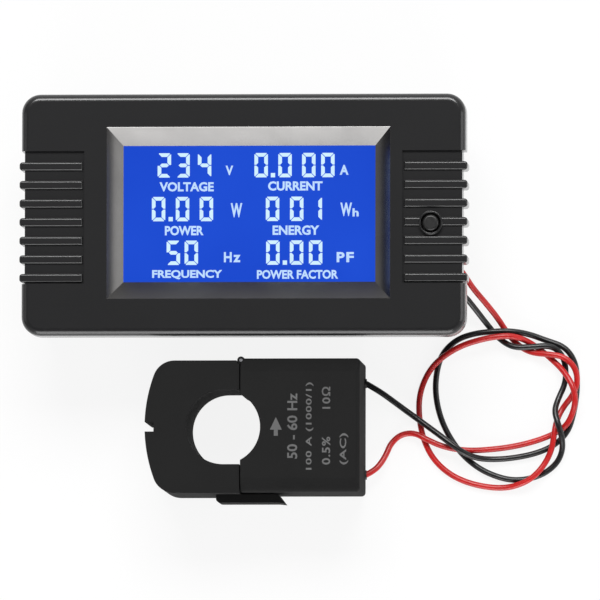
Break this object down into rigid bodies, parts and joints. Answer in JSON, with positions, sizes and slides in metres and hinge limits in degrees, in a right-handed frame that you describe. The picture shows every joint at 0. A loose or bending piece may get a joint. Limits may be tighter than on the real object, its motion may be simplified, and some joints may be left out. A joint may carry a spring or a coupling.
{
  "type": "digital power meter",
  "caption": "Panel meter with a lit display, ribbed bezel and push button, wired by two leads to a split current transformer with a hinged jaw.",
  "frame": {"origin": "middle of the meter's rear face, on the surface that it lies on", "axes": "+X to the right of the display, +Y to its top, +Z out of the display"},
  "size_m": [0.1112, 0.0815, 0.0248],
  "materials": {
    "bezel_plastic": "fine satin moulding",
    "housing_plastic": "fine satin moulding",
    "board_laminate": "green solder mask",
    "display_face": "lit blue display behind smooth glass",
    "light_plate": "milky",
    "plated_pin": "tin plated",
    "button_plastic": "smooth satin",
    "switch_plastic": "moulded",
    "plunger_plastic": "moulded",
    "chip_resin": "moulded",
    "capacitor_can": "sleeved can",
    "capacitor_box": "moulded box",
    "resistor_coat": "lacquered",
    "terminal_plastic": "moulded",
    "screw_steel": "zinc plated",
    "copper_strand": "tinned strands",
    "ct_plastic": "fine satin moulding",
    "ct_cover_plastic": "smooth potting cover",
    "ferrite": "ground faces",
    "bobbin_plastic": "moulded",
    "copper_winding": "enamelled wire",
    "bushing_rubber": "smooth",
    "red_insulation": "extruded satin",
    "black_insulation": "extruded satin"
  },
  "bodies": {
    "meter": {"front_bezel": "bezel_plastic", "rear_housing": "housing_plastic", "circuit_board": "board_laminate", "display_glass": "display_face", "display_backlight": "light_plate", "display_pins": "plated_pin", "button_switch": "switch_plastic", "metering_chip": "chip_resin", "supply_capacitor": "capacitor_can", "film_capacitor": "capacitor_box", "divider_resistors": "resistor_coat", "terminal_block": "terminal_plastic", "terminal_screws": "screw_steel", "case_screws": "screw_steel", "lead_cores": "copper_strand", "ct_body_case": "ct_plastic", "ct_back_cover": "ct_cover_plastic", "ct_hinge_pin": "screw_steel", "ct_body_core": "ferrite", "ct_bobbin": "bobbin_plastic", "ct_winding": "copper_winding", "burden_resistor": "resistor_coat", "lead_bushings": "bushing_rubber", "red_lead": "red_insulation", "black_lead": "black_insulation"},
    "button": {"button_cap": "button_plastic", "button_plunger": "plunger_plastic"},
    "jaw": {"ct_jaw_case": "ct_plastic", "ct_jaw_core": "ferrite"}
  },
  "joints": [
    {"name": "button_press", "type": "slide", "parent": "meter", "child": "button", "axis": [0, 0, -1], "range_m": [0, 0.0003], "stiffness_N_per_m": 600},
    {"name": "jaw_hinge", "type": "hinge", "parent": "meter", "child": "jaw", "pos_m": [-0.00063, -0.02895, 0.011], "axis": [0, 0, -1], "range_deg": [0, 18]}
  ]
}
